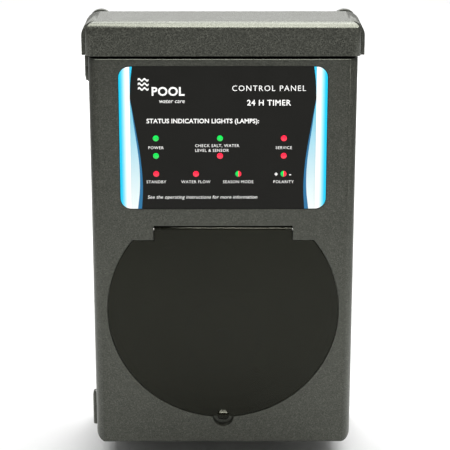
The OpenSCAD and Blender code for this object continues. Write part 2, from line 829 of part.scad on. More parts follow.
module rocker_frame(at) {
    w = rocker_size[0] + 4;
    h = rocker_size[1] + 4;
    color(BLACK) difference() {
        union() {
            along_y(panel_y - 2, panel_y) translate(at) rounded_rect(w, h, 1.5);
            along_y(panel_y - 0.5, pod_y1 + 12) translate(at)
                square([rocker_size[0] - 2.4, rocker_size[1] - 2.4], center = true);
        }
        along_y(panel_y - 3, panel_y + 7) translate(at) square([rocker_size[0] - 4.4, rocker_size[1] - 4.4], center = true);
        rod_x(1.25, at[0] - 6.4, at[0] + 6.4, panel_y, at[1]);
    }
    color(BRASS) for (z = [-6, 0, 6])
        box([at[0] - 2.4, pod_y1 + 12, at[1] + z - 0.4], [at[0] + 2.4, pod_y1 + 19, at[1] + z + 0.4]);
}

// A rocker that turns about a level axis, drawn tilted to one side
module rocker(at, tilt) {
    w = rocker_size[0] - 5.2;
    h = rocker_size[1] - 5.6;
    translate([at[0], panel_y, at[1]]) rotate([tilt, 0, 0]) {
        difference() {
            translate([-w / 2, -4.6, -h / 2]) cube([w, 7.2, h]);
            along_x(-w, w) polygon([[-5, -h / 2 - 1], [-5, h / 2 + 1], [-3.5, 0]]);
        }
        rod_x(1.2, -6.2, 6.2, 0, 0);
    }
}

rocker_tilt = 9;

module mode_rocker() { color("#303030") rocker(mode_at, rocker_tilt); }

module season_rocker() { color("#303030") rocker(season_at, -rocker_tilt); }

module rocker_frames() {
    rocker_frame(mode_at);
    rocker_frame(season_at);
}

module boost_button() {
    color("#2f7f46") {
        cone_y(5, 4.6, panel_y - 5, panel_y - 3.5, boost_at);
        rod_y(5, panel_y - 3.5, panel_y + 4, boost_at);
    }
}

module boost_button_ring() {
    color(STEEL) difference() {
        cone_y(8.5, 7.8, panel_y - 2.2, panel_y, boost_at);
        rod_y(5.3, panel_y - 3, panel_y + 1, boost_at);
    }
}

module boost_switch_body() {
    color("#2a2a2a") difference() {
        rod_y(6, panel_y, pod_y1 + 14, boost_at);
        rod_y(5.3, panel_y - 1, panel_y + 7, boost_at);
    }
}

module reset_button() {
    color("#b02820") {
        rod_y(3, panel_y - 6, panel_y + 4, reset_at);
        cone_y(3, 2.4, panel_y - 7, panel_y - 6, reset_at);
    }
}

module reset_nut() {
    color(STEEL) difference() {
        rod_y_hex(8, panel_y - 2.4, panel_y, reset_at);
        rod_y(5, panel_y - 3, panel_y + 1, reset_at);
    }
}

module breaker_body() {
    color("#252525") difference() {
        union() {
            rod_y(4.95, panel_y - 3.4, pod_y1, reset_at);
            along_y(pod_y1, pod_y1 + 20) translate(reset_at) rounded_rect(15, 26, 1.5);
        }
        rod_y(3.25, panel_y - 4, pod_y1 + 4, reset_at);
    }
}

// ---------- inside the case ----------

foot_x = core_size[0] / 2 + 6;
transformer_feet = [for (sx = [-1, 1], sz = [-1, 1]) [core_at[0] + sx * foot_x, core_at[2] + sz * 24]];
sink_feet = [for (sx = [-1, 1]) [sink_at[0] + sx * 36, sink_at[1] + 36]];

module transformer_core() {
    color("#6c7074") translate(core_at) difference() {
        cube(core_size, center = true);
        for (s = [-1, 1]) translate([s * core_size[0] * 0.25, 0, 0]) cube([15, core_size[1] + 2, 43], center = true);
        for (sx = [-1, 1], sz = [-1, 1]) translate([sx * (core_size[0] / 2 - 5), 0, sz * (core_size[2] / 2 - 5)])
            rotate([90, 0, 0]) cylinder(r = 2.2, h = core_size[1] + 2, center = true);
    }
}

module transformer_coils() {
    limb = core_size[0] * 0.5 - 15;
    color("#b4702e") translate(core_at) difference() {
        translate([0, 0, -21]) linear_extrude(42) rounded_rect(limb + 29.4, core_size[1] + 22, 9);
        cube([limb + 0.4, core_size[1] + 0.4, 60], center = true);
    }
}

module transformer_frame() {
    t = 1.6;
    color("#9a9c9e") {
        for (s = [-1, 1]) {
            x0 = core_at[0] + s * core_size[0] / 2;
            box([min(x0, x0 + s * t), core_at[1] - core_size[1] / 2, core_at[2] - 31],
                [max(x0, x0 + s * t), -9, core_at[2] + 31]);
        }
        for (s = [-1, 1]) difference() {
            x0 = core_at[0] + s * core_size[0] / 2;
            box([min(x0, x0 + s * 10.5), -10.6, core_at[2] - 31], [max(x0, x0 + s * 10.5), -9, core_at[2] + 31]);
            for (p = transformer_feet) rod_y(2.3, -12, -8, p);
        }
    }
}

module transformer_screws() {
    color(STEEL) for (p = transformer_feet)
        screw_y(p, -10.6, 6.4, -1, r = 2, head_r = 3.6, head_h = 2.6);
}

module main_board() {
    color(BOARD) difference() {
        along_y(board_y - board_t, board_y) translate(board_at) square(board_size, center = true);
        for (p = board_posts) rod_y(1.7, board_y - 3, board_y + 1, p);
    }
}

module main_board_screws() {
    color(STEEL) for (p = board_posts) screw_y(p, board_y - board_t, 7, -1);
}

module relays() {
    y1 = board_y - board_t;
    color("#2a5f9e") for (z = [-34, -10]) box([board_at[0] - 32, y1 - 16, z - 10], [board_at[0] - 2, y1, z + 10]);
}

module capacitors() {
    y1 = board_y - board_t;
    color("#26303a") for (p = [[26, 82, 9], [50, 82, 9], [76, 66, 6.5], [76, 48, 6.5]])
        rod_y(p[2], y1 - p[2] * 2.6, y1, [p[0], p[1]]);
}

module heat_sink() {
    y1 = -8;
    color("#b9bcbe") difference() {
        union() {
            box([sink_at[0] - sink_size[0] / 2, y1 - 4, sink_at[1] - sink_size[1] / 2],
                [sink_at[0] + sink_size[0] / 2, y1, sink_at[1] + sink_size[1] / 2]);
            for (i = [0 : 7]) {
                x = sink_at[0] - sink_size[0] / 2 + i * 5;
                box([x, y1 - 22, sink_at[1] - sink_size[1] / 2], [x + 1.6, y1 - 3, sink_at[1] + sink_size[1] / 2 - 12]);
            }
        }
        for (p = sink_feet) rod_y(1.7, y1 - 5, y1 + 1, p);
        rod_y(1.7, y1 - 5, y1 + 1, rectifier_at);
    }
    color(STEEL) for (p = sink_feet) difference() {
        rod_y(2.8, y1 - 6.2, y1 - 4, p);
        box([p[0] - 3, y1 - 7, p[1] - 0.35], [p[0] + 3, y1 - 5.4, p[1] + 0.35]);
    }
}

rectifier_at = [sink_at[0] + 24, sink_at[1] - 10];

module rectifier() {
    color("#1c1c1c") difference() {
        along_y(-21, -12) translate(rectifier_at) rounded_rect(28, 28, 2);
        rod_y(2.2, -22, -11, rectifier_at);
    }
    color(STEEL) for (sx = [-1, 1], sz = [-1, 1])
        box([rectifier_at[0] + sx * 9 - 0.4, -29, rectifier_at[1] + sz * 9 - 3],
            [rectifier_at[0] + sx * 9 + 0.4, -21, rectifier_at[1] + sz * 9 + 3]);
}

module rectifier_screw() {
    color(STEEL) screw_y(rectifier_at, -21, 12.5, -1, r = 1.5, head_r = 3.2, head_h = 2.2);
}

module terminal_block() {
    y1 = -wall;
    color("#d8d5c8") difference() {
        box([block_at[0] - block_w / 2, y1 - 18, block_at[1] - 9], [block_at[0] + block_w / 2, y1, block_at[1] + 9]);
        for (i = [0 : 7], s = [-1, 1]) translate([block_at[0] + (i - 3.5) * 11.5, 0, 0]) {
            rod_y(3, y1 - 19, y1 - 9, [0, block_at[1] + s * 4]);
            box([-3, y1 - 12, block_at[1] + s * 9 - 5], [3, y1 - 5, block_at[1] + s * 9 + 5]);
        }
        for (i = [0 : 6]) {
            x = block_at[0] + (i - 3) * 11.5;
            box([x - 0.5, y1 - 19, block_at[1] - 10], [x + 0.5, y1 - 14, block_at[1] + 10]);
        }
    }
}

module terminal_screws() {
    y1 = -wall - 12.2;
    color(BRASS) for (i = [0 : 7], s = [-1, 1]) {
        at = [block_at[0] + (i - 3.5) * 11.5, block_at[1] + s * 4];
        difference() {
            rod_y(2.6, y1 - 2.6, y1, at);
            box([at[0] - 3, y1 - 3, at[1] - 0.4], [at[0] + 3, y1 - 1.6, at[1] + 0.4]);
        }
    }
}

module earth_stud() {
    at = [78, -128];
    color(BRASS) {
        rod_y(2.4, -20, -wall, at);
        rod_y_hex(5, -13, -9.4, at);
        rod_y(6, -8, -7, at);
        rod_y_hex(5, -6.9, -wall, at);
    }
}

// ---------- cable glands ----------

module rod_z(r, z0, z1, x) {
    translate([x, gland_y, z0]) cylinder(r = r, h = z1 - z0);
}

module hex_z(r, z0, z1, x) {
    translate([x, gland_y, z0]) cylinder(r = r, h = z1 - z0, $fn = 6);
}

gland_z = -half_h;

module gland_bodies() {
    color(BLACK) for (x = gland_x) difference() {
        union() {
            rod_z(gland_r, gland_z - 2, gland_z + 12, x);
            hex_z(14, gland_z - 8, gland_z - 1.5, x);
            rod_z(9, gland_z - 14, gland_z - 7.5, x);
        }
        rod_z(cable_r, gland_z - 20, gland_z + 20, x);
    }
}

module gland_caps() {
    color(BLACK) for (x = gland_x) difference() {
        union() {
            hex_z(13, gland_z - 18, gland_z - 8.5, x);
            translate([x, gland_y, gland_z - 22]) cylinder(r1 = 7.5, r2 = 11, h = 4.2);
        }
        rod_z(9.15, gland_z - 17, gland_z - 8, x);
        rod_z(5.2, gland_z - 30, gland_z, x);
    }
}

module gland_seals() {
    color("#202020") for (x = gland_x) difference() {
        rod_z(12.5, gland_z - 1.5, gland_z, x);
        rod_z(gland_r + 0.1, gland_z - 3, gland_z + 1, x);
    }
}

module gland_locknuts() {
    z0 = gland_z + wall;
    color(BLACK) for (x = gland_x) difference() {
        hex_z(14, z0, z0 + 5, x);
        rod_z(gland_r + 0.1, z0 - 1, z0 + 6, x);
    }
}

// ---------- drawing ----------

rear_case();
wall_ears();
ear_screws();
case_gasket();
top_hood();
hood_screws();
cover_hinge_pins();
front_cover();
label_plate();
leds_green();
leds_red();
leds_two_colour();
led_board();
led_board_screws();
led_resistors();
board_connector();
window_door();
window_hinge_pins();
window_bumpers();
control_pod();
pod_screws();
control_panel();
panel_screws();
timer_bezel();
timer_case();
timer_dial();
timer_tappets();
timer_hub();
override_slider();
output_knob();
knob_insert();
output_potentiometer();
potentiometer_nut();
mode_rocker();
season_rocker();
rocker_frames();
boost_button();
boost_button_ring();
boost_switch_body();
reset_button();
reset_nut();
breaker_body();
transformer_core();
transformer_coils();
transformer_frame();
transformer_screws();
main_board();
main_board_screws();
relays();
capacitors();
heat_sink();
rectifier();
rectifier_screw();
terminal_block();
terminal_screws();
earth_stud();
gland_bodies();
gland_caps();
gland_seals();
gland_locknuts();
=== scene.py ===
import math
import bmesh
import bpy
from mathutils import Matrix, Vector


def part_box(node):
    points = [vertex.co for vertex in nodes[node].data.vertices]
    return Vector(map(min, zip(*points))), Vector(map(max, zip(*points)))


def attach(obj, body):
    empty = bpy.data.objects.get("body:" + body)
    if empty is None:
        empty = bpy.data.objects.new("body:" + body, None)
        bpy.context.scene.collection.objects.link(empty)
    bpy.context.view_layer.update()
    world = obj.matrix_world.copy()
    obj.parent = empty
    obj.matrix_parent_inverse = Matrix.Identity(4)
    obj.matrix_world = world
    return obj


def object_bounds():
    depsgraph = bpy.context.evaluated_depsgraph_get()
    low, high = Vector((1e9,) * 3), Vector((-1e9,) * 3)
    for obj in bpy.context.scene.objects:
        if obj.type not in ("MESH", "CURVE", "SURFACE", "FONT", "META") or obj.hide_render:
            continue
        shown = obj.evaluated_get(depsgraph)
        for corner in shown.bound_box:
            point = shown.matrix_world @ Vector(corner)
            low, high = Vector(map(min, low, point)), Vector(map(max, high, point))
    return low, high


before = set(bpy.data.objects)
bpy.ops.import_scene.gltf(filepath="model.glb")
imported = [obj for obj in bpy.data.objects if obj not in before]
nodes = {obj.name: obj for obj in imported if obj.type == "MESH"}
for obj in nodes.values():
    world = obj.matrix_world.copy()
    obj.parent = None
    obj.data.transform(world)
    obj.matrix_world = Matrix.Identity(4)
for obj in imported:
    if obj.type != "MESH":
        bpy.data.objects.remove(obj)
cad_low, cad_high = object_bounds()
scene = bpy.context.scene
MM = 0.001

label_low, label_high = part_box("label_plate")
label_y = label_low[1]
face_y = label_y - 0.1 * MM
# the window's round part is centred this far below the top of its hinge tab
TAB_ABOVE_CENTRE = 71.2 * MM
circle_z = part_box("window_door")[1][2] - TAB_ABOVE_CENTRE
COVER = (0.024, 0.0245, 0.021)
# printed layers lie this far in front of the label, the upper ones further out
LAYER_LOW, LAYER_MID, LAYER_TOP = 0.03 * MM, 0.04 * MM, 0.05 * MM
INK_DEPTH = 0.03 * MM
scene.view_settings.view_transform = "Standard"


# ---------- camera, light and stage ----------

def add_camera():
    """Looks down at the cover a little from above, from just over a metre away."""
    pitch, yaw, distance = math.radians(16.94), math.radians(-0.22), 1.312
    above_window = 72.7 * MM
    fwd = Vector((-math.sin(yaw) * math.cos(pitch), math.cos(yaw) * math.cos(pitch), -math.sin(pitch)))
    target = Vector((1.5 * MM, face_y, circle_z + above_window))
    cam = bpy.data.cameras.new("camera")
    cam.sensor_width = 36
    cam.lens = 130.54
    ob = bpy.data.objects.new("camera", cam)
    scene.collection.objects.link(ob)
    ob.location = target - fwd * distance
    ob.rotation_euler = fwd.to_track_quat("-Z", "Y").to_euler()
    scene.camera = ob


def area_light(name, loc, aim, size, power, colour=(1, 1, 1), only=None):
    """A rectangular soft light at loc. With only, it lights nothing but that collection."""
    li = bpy.data.lights.new(name, "AREA")
    li.shape = "RECTANGLE"
    li.size, li.size_y = size
    li.energy = power
    li.color = colour
    ob = bpy.data.objects.new(name, li)
    scene.collection.objects.link(ob)
    ob.location = loc
    ob.rotation_euler = (Vector(aim) - Vector(loc)).to_track_quat("-Z", "Y").to_euler()
    if only:
        ob.light_linking.receiver_collection = only


def add_world(strength):
    world = bpy.data.worlds.new("studio")
    scene.world = world
    world.use_nodes = True
    bg = world.node_tree.nodes["Background"]
    bg.inputs["Color"].default_value = (1.0, 1.0, 0.99, 1)
    bg.inputs["Strength"].default_value = strength


def add_floor():
    me = bpy.data.meshes.new("floor")
    r = 6.0
    z = cad_low[2] - 0.5 * MM
    me.from_pydata([(-r, -r, z), (r, -r, z), (r, r, z), (-r, r, z)], [], [(0, 1, 2, 3)])
    ob = bpy.data.objects.new("floor", me)
    scene.collection.objects.link(ob)
    mat, nt, bsdf, co = node_mat("pale_backdrop")
    nt.links.new(ramp(nt, noise(nt, co, 3, 2, 0.5), [(0.2, 0.9), (0.8, 0.92)]),
                 bsdf.inputs["Base Color"])
    bsdf.inputs["Roughness"].default_value = 0.9
    bsdf.inputs["Specular IOR Level"].default_value = 0.1
    me.materials.append(mat)
    floor_only.objects.link(ob)


# ---------- materials ----------

def node_mat(name):
    mat = bpy.data.materials.new(name)
    mat.use_nodes = True
    nt = mat.node_tree
    bsdf = nt.nodes["Principled BSDF"]
    co = nt.nodes.new("ShaderNodeTexCoord")
    return mat, nt, bsdf, co.outputs["Object"]


def noise(nt, co, scale, detail=2.0, rough=0.5, stretch=None):
    if stretch:
        m = nt.nodes.new("ShaderNodeMapping")
        m.inputs["Scale"].default_value = stretch
        nt.links.new(co, m.inputs["Vector"])
        co = m.outputs["Vector"]
    n = nt.nodes.new("ShaderNodeTexNoise")
    n.inputs["Scale"].default_value = scale
    n.inputs["Detail"].default_value = detail
    n.inputs["Roughness"].default_value = rough
    nt.links.new(co, n.inputs["Vector"])
    return n.outputs["Fac"]


def ramp(nt, fac, stops):
    r = nt.nodes.new("ShaderNodeValToRGB")
    els = r.color_ramp.elements
    while len(els) < len(stops):
        els.new(0.5)
    for e, (p, c) in zip(els, stops):
        e.position = p
        e.color = (c, c, c, 1) if isinstance(c, (int, float)) else (*c, 1)
    nt.links.new(fac, r.inputs["Fac"])
    return r.outputs["Color"]


def bump(nt, bsdf, height, strength, distance, chain=None):
    b = nt.nodes.new("ShaderNodeBump")
    b.inputs["Strength"].default_value = strength
    b.inputs["Distance"].default_value = distance
    nt.links.new(height, b.inputs["Height"])
    if chain is not None:
        nt.links.new(chain, b.inputs["Normal"])
    nt.links.new(b.outputs["Normal"], bsdf.inputs["Normal"])
    return b.outputs["Normal"]


def shade(c, k):
    return tuple(min(1.0, v * k) for v in c)


def plastic(name, colour, rough=0.45, grain=900, grain_depth=0.00004, vary=0.15, spec=0.5, coat=0.0):
    mat, nt, bsdf, co = node_mat(name)
    big = noise(nt, co, 14, 3, 0.6)
    fine = noise(nt, co, grain, 2, 0.6)
    mix = nt.nodes.new("ShaderNodeMath")
    mix.operation = "ADD"
    half = nt.nodes.new("ShaderNodeMath")
    half.operation = "MULTIPLY"
    half.inputs[1].default_value = 0.5
    nt.links.new(big, mix.inputs[0])
    nt.links.new(fine, mix.inputs[1])
    nt.links.new(mix.outputs[0], half.inputs[0])
    nt.links.new(ramp(nt, half.outputs[0], [(0.3, shade(colour, 1 - vary)), (0.5, colour),
                                            (0.7, shade(colour, 1 + vary))]), bsdf.inputs["Base Color"])
    nt.links.new(ramp(nt, noise(nt, co, 60, 4, 0.6), [(0.3, rough * 0.88), (0.7, rough * 1.12)]),
                 bsdf.inputs["Roughness"])
    bsdf.inputs["Specular IOR Level"].default_value = spec
    if coat:
        bsdf.inputs["Coat Weight"].default_value = coat
        bsdf.inputs["Coat Roughness"].default_value = 0.12
    bump(nt, bsdf, fine, 0.6, grain_depth)
    return mat


def metal(name, colour, rough=0.3, stretch=(1, 1, 12)):
    mat, nt, bsdf, co = node_mat(name)
    brush = noise(nt, co, 350, 3, 0.6, stretch)
    nt.links.new(ramp(nt, brush, [(0.3, shade(colour, 0.82)), (0.7, shade(colour, 1.06))]),
                 bsdf.inputs["Base Color"])
    nt.links.new(ramp(nt, brush, [(0.3, rough * 0.8), (0.7, rough * 1.25)]), bsdf.inputs["Roughness"])
    bsdf.inputs["Metallic"].default_value = 1.0
    bump(nt, bsdf, brush, 0.3, 0.00003)
    return mat


def speckled(name, colour, rough=0.3):
    """Charcoal moulded plastic with a fine metallic fleck and a fine grain."""
    mat, nt, bsdf, co = node_mat(name)
    vor = nt.nodes.new("ShaderNodeTexVoronoi")
    vor.inputs["Scale"].default_value = 1500
    nt.links.new(co, vor.inputs["Vector"])
    sep = nt.nodes.new("ShaderNodeSeparateColor")
    nt.links.new(vor.outputs["Color"], sep.inputs["Color"])
    fleck = ramp(nt, sep.outputs[0], [(0.0, shade(colour, 0.35)), (0.5, colour),
                                      (0.8, shade(colour, 1.5)), (1.0, shade(colour, 2.6))])
    nt.links.new(fleck, bsdf.inputs["Base Color"])
    nt.links.new(ramp(nt, noise(nt, co, 45, 4, 0.6), [(0.3, rough * 0.9), (0.7, rough * 1.1)]),
                 bsdf.inputs["Roughness"])
    nt.links.new(ramp(nt, sep.outputs[1], [(0.55, 0.05), (1.0, 0.3)]), bsdf.inputs["Metallic"])
    bsdf.inputs["Specular IOR Level"].default_value = 0.95
    bsdf.inputs["Specular Tint"].default_value = (0.96, 1.0, 0.87, 1)
    bump(nt, bsdf, noise(nt, co, 1100, 2, 0.6), 0.5, 0.00006)
    return mat


def smoked(name, colour, alpha):
    """Dark acrylic sheet that lets a little of what is behind it show."""
    mat, nt, bsdf, co = node_mat(name)
    tint = [(0.3, shade(colour, 0.8)), (0.7, shade(colour, 1.25))]
    nt.links.new(ramp(nt, noise(nt, co, 9, 3, 0.6), tint), bsdf.inputs["Base Color"])
    nt.links.new(ramp(nt, noise(nt, co, 30, 5, 0.65), [(0.35, 0.05), (0.75, 0.12)]),
                 bsdf.inputs["Roughness"])
    bsdf.inputs["Alpha"].default_value = alpha
    bsdf.inputs["Specular IOR Level"].default_value = 0.34
    bsdf.inputs["Specular Tint"].default_value = (0.98, 1.0, 0.84, 1)
    bump(nt, bsdf, noise(nt, co, 1400, 2, 0.5), 0.2, 0.00001)
    return mat


def lamp(name, colour, glow):
    """Coloured lamp lens with a faint glow."""
    mat, nt, bsdf, co = node_mat(name)
    fac = noise(nt, co, 260, 2, 0.5)
    nt.links.new(ramp(nt, fac, [(0.3, shade(colour, 0.85)), (0.7, shade(colour, 1.15))]),
                 bsdf.inputs["Base Color"])
    nt.links.new(ramp(nt, fac, [(0.3, shade(colour, 0.9)), (0.7, colour)]),
                 bsdf.inputs["Emission Color"])
    bsdf.inputs["Emission Strength"].default_value = glow
    bsdf.inputs["Roughness"].default_value = 0.15
    bsdf.inputs["Coat Weight"].default_value = 0.6
    return mat


def ink(name, colour, rough=0.35):
    return plastic(name, colour, rough, 1500, 0.00001, 0.06)


def dress(names, mat):
    """Gives CAD nodes one material."""
    for n in names:
        me = nodes[n].data
        me.materials.clear()
        me.materials.append(mat)


def two_colour(name, split_x, mid_x):
    """A lamp whose left half is green and right half red, for two lamps at split_x."""
    mat, nt, bsdf, co = node_mat(name)
    xyz = nt.nodes.new("ShaderNodeSeparateXYZ")
    nt.links.new(co, xyz.inputs[0])

    def step(op, value):
        m = nt.nodes.new("ShaderNodeMath")
        m.operation = op
        m.inputs[1].default_value = value
        nt.links.new(xyz.outputs["X"], m.inputs[0])
        return m.outputs[0]

    both = nt.nodes.new("ShaderNodeMath")
    both.operation = "MULTIPLY"
    nt.links.new(step("GREATER_THAN", mid_x), both.inputs[0])
    nt.links.new(step("LESS_THAN", split_x[1]), both.inputs[1])
    add = nt.nodes.new("ShaderNodeMath")
    add.operation = "ADD"
    nt.links.new(step("LESS_THAN", split_x[0]), add.inputs[0])
    nt.links.new(both.outputs[0], add.inputs[1])
    col = ramp(nt, add.outputs[0], [(0.45, (0.87, 0.02, 0.05)), (0.55, (0.0, 0.5, 0.07))])
    nt.links.new(col, bsdf.inputs["Base Color"])
    nt.links.new(col, bsdf.inputs["Emission Color"])
    bsdf.inputs["Emission Strength"].default_value = 0.3
    bsdf.inputs["Roughness"].default_value = 0.15
    return mat


def band(name, stops):
    """Printed colour that changes with the distance from x = 0. The stops are in millimetres."""
    mat, nt, bsdf, co = node_mat(name)
    xyz = nt.nodes.new("ShaderNodeSeparateXYZ")
    nt.links.new(co, xyz.inputs[0])
    side = nt.nodes.new("ShaderNodeMath")
    side.operation = "ABSOLUTE"
    nt.links.new(xyz.outputs["X"], side.inputs[0])
    rng = nt.nodes.new("ShaderNodeMapRange")
    rng.inputs["From Min"].default_value = stops[0][0] * MM
    rng.inputs["From Max"].default_value = stops[-1][0] * MM
    nt.links.new(side.outputs[0], rng.inputs["Value"])
    span = stops[-1][0] - stops[0][0]
    nt.links.new(ramp(nt, rng.outputs[0], [((x - stops[0][0]) / span, c) for x, c in stops]),
                 bsdf.inputs["Base Color"])
    bsdf.inputs["Roughness"].default_value = 0.3
    bump(nt, bsdf, noise(nt, co, 1800, 2, 0.5), 0.3, 0.00001)
    return mat


def fade_up(name, low_z, high_z, low, high):
    """Printed colour that changes from low at low_z to high at high_z."""
    mat, nt, bsdf, co = node_mat(name)
    xyz = nt.nodes.new("ShaderNodeSeparateXYZ")
    nt.links.new(co, xyz.inputs[0])
    rng = nt.nodes.new("ShaderNodeMapRange")
    rng.inputs["From Min"].default_value = low_z
    rng.inputs["From Max"].default_value = high_z
    nt.links.new(xyz.outputs["Z"], rng.inputs["Value"])
    nt.links.new(ramp(nt, rng.outputs[0], [(0.0, low), (1.0, high)]), bsdf.inputs["Base Color"])
    bsdf.inputs["Roughness"].default_value = 0.3
    bump(nt, bsdf, noise(nt, co, 1800, 2, 0.5), 0.3, 0.00001)
    return mat


# ---------- geometry helpers ----------

def link(name, me, mat, body):
    """Adds a mesh as a piece that rides on a body."""
    ob = bpy.data.objects.new(name, me)
    scene.collection.objects.link(ob)
    me.materials.clear()
    me.materials.append(mat)
    lit.objects.link(ob)
    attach(ob, body)
    return ob


def curve_points(pts, steps=6):
    """Smooth line through the given points."""
    out = []
    n = len(pts)
    for i in range(n - 1):
        p0, p1, p2, p3 = pts[max(i - 1, 0)], pts[i], pts[i + 1], pts[min(i + 2, n - 1)]
        for k in range(steps):
            t = k / steps
            out.append(tuple(0.5 * (2 * b + (c - a) * t + (2 * a - 5 * b + 4 * c - d) * t * t
                                    + (3 * b - a - 3 * c + d) * t ** 3)
                             for a, b, c, d in zip(p0, p1, p2, p3)))
    out.append(tuple(pts[-1]))
    return out


def plate(name, outline, y, depth, mat, body):
    """A thin printed plate. Its outline is in x and z, in metres, and its front is at y."""
    bm = bmesh.new()
    front = [bm.verts.new((x, y, z)) for x, z in outline]
    back = [bm.verts.new((x, y + depth, z)) for x, z in outline]
    n = len(front)
    bm.faces.new(front)
    for i in range(n):
        bm.faces.new((front[i], back[i], back[(i + 1) % n], front[(i + 1) % n]))
    bmesh.ops.recalc_face_normals(bm, faces=bm.faces)
    me = bpy.data.meshes.new(name)
    bm.to_mesh(me)
    bm.free()
    return link(name, me, mat, body)


def letters(name, text, x, z, cap, y, mat, body, align="LEFT", slant=0.0, space=1.0,
            slot=None, bold=0.0):
    """Flat lettering with its capitals cap tall, standing on z, in metres."""
    cap_of_size = 0.73
    cu = bpy.data.curves.new(name, "FONT")
    cu.body = text
    cu.size = cap / cap_of_size
    cu.align_x = align
    cu.shear = slant
    cu.space_character = space
    cu.extrude = 0.02 * MM
    cu.offset = bold
    cu.resolution_u = 3
    ob = bpy.data.objects.new(name, cu)
    scene.collection.objects.link(ob)
    dg = bpy.context.evaluated_depsgraph_get()
    me = bpy.data.meshes.new_from_object(ob.evaluated_get(dg))
    bpy.data.objects.remove(ob)
    for v in me.vertices:
        v.co = Vector((x + v.co.x, y - v.co.z, z + v.co.y))
    me.name = name
    return link(name, me, mat, body)


def soften(name, width, angle=35):
    """Rounds a CAD node's sharp edges where they catch the light."""
    ob = nodes[name]
    weld = ob.modifiers.new("weld", "WELD")
    weld.merge_threshold = 0.00002
    flat = ob.modifiers.new("flat", "DECIMATE")
    flat.decimate_type = "DISSOLVE"
    flat.angle_limit = math.radians(0.5)
    be = ob.modifiers.new("bevel", "BEVEL")
    be.width = width
    be.segments = 2
    be.limit_method = "ANGLE"
    be.angle_limit = math.radians(angle)
    be.harden_normals = True
    be.use_clamp_overlap = True


add_camera()
add_world(0.23)
floor_only = bpy.data.collections.new("lit_by_the_floor_light")
add_floor()
lit = bpy.data.collections.new("lit_by_the_key")
for ob in nodes.values():
    lit.objects.link(ob)
# the key and the edge strip light only the object, so the floor stays even and pale
area_light("key_top", (0.15, -0.545, 1.39), (0, -0.1, 0.17), (1.6, 1.6), 60, (1.0, 0.99, 0.95), lit)
area_light("back_top", (0, 1.7, 0.85), (0, 0.0, 0.1), (2.2, 0.8), 7)
area_light("floor_wash", (0, 1.3, 2.2), (0, 1.0, -0.2), (2.5, 2.0), 88)
area_light("floor_front", (0.25, -0.35, 0.45), (0.1, -0.2, -0.19), (0.7, 0.35), 1.8,
           (1, 1, 1), floor_only)
area_light("edge_strip", (0, -1.05, 1.15), (0, -0.11, 0.165), (1.2, 0.15), 5, (1, 1, 0.97), lit)

m_cover = speckled("charcoal_cover", COVER)
# same charcoal as the cover: the rear case is painted a tenth darker as painted shade, and the top hood
# a tenth lighter as painted light
m_case = speckled("charcoal_case_painted_shade", shade(COVER, 0.9))
m_hood = speckled("charcoal_hood_painted_light", shade(COVER, 1.1), 0.24)
m_black = plastic("satin_black", (0.014, 0.014, 0.014), 0.4, 700, 0.00003)
m_rubber = plastic("black_rubber", (0.018, 0.018, 0.018), 0.75, 500, 0.00006, 0.2, 0.25)
m_steel = metal("zinc_steel", (0.62, 0.62, 0.6), 0.32)
m_brass = metal("brass", (0.75, 0.56, 0.25), 0.3)
m_alu = metal("aluminium", (0.72, 0.73, 0.74), 0.36, (1, 1, 10))
m_green_led = lamp("green_lens", (0.0, 0.52, 0.06), 0.3)
m_red_led = lamp("red_lens", (0.87, 0.012, 0.045), 0.3)
m_two_led = two_colour("two_colour_lens", (12.1 * MM, 48.1 * MM), 30 * MM)
m_board = plastic("solder_mask", (0.012, 0.12, 0.045), 0.3, 300, 0.00002, 0.25, 0.5, 0.4)
m_white = plastic("ivory_plastic", (0.66, 0.64, 0.56), 0.45, 600, 0.00002, 0.05)
m_grey = plastic("grey_plastic", (0.36, 0.36, 0.34), 0.4, 700, 0.00003, 0.08)
m_blue = plastic("blue_plastic", (0.03, 0.13, 0.42), 0.4, 700, 0.00003, 0.1)
m_red = plastic("red_plastic", (0.50, 0.018, 0.014), 0.38, 700, 0.00003, 0.1)
m_green = plastic("green_plastic", (0.02, 0.2, 0.06), 0.38, 700, 0.00003, 0.1)
m_chip = plastic("chip_epoxy", (0.02, 0.02, 0.02), 0.55, 900, 0.00003)
m_core = metal("varnished_laminations", (0.2, 0.2, 0.21), 0.45, (1, 60, 1))
m_coil = plastic("copper_and_tape", (0.42, 0.16, 0.035), 0.3, 200, 0.0001, 0.3, 0.5, 0.3)
m_window = smoked("smoked_acrylic", (0.0035, 0.0036, 0.002), 0.86)
m_label = plastic("printed_film", (0.006, 0.006, 0.005), 0.5, 1800, 0.00001, 0.1, 0.2)
m_print = ink("white_ink", (0.85, 0.85, 0.85))
m_black_ink = ink("black_ink", (0.012, 0.012, 0.012))
m_cyan = ink("cyan_ink", (0.02, 0.5, 0.78))
m_navy = ink("deep_blue_ink", (0.01, 0.13, 0.28))
m_band = band("cyan_to_white", [(73.0, (0.9, 0.91, 0.92)), (76.2, (0.86, 0.88, 0.9)),
                                (78.6, (0.28, 0.66, 0.85)), (80.6, (0.0, 0.5, 0.75)),
                                (82.9, (0.0, 0.42, 0.66))])
m_lens = fade_up("pale_blue_fade", label_low[2], label_low[2] + 85 * MM,
                 (0.72, 0.78, 0.78), (0.10, 0.45, 0.62))

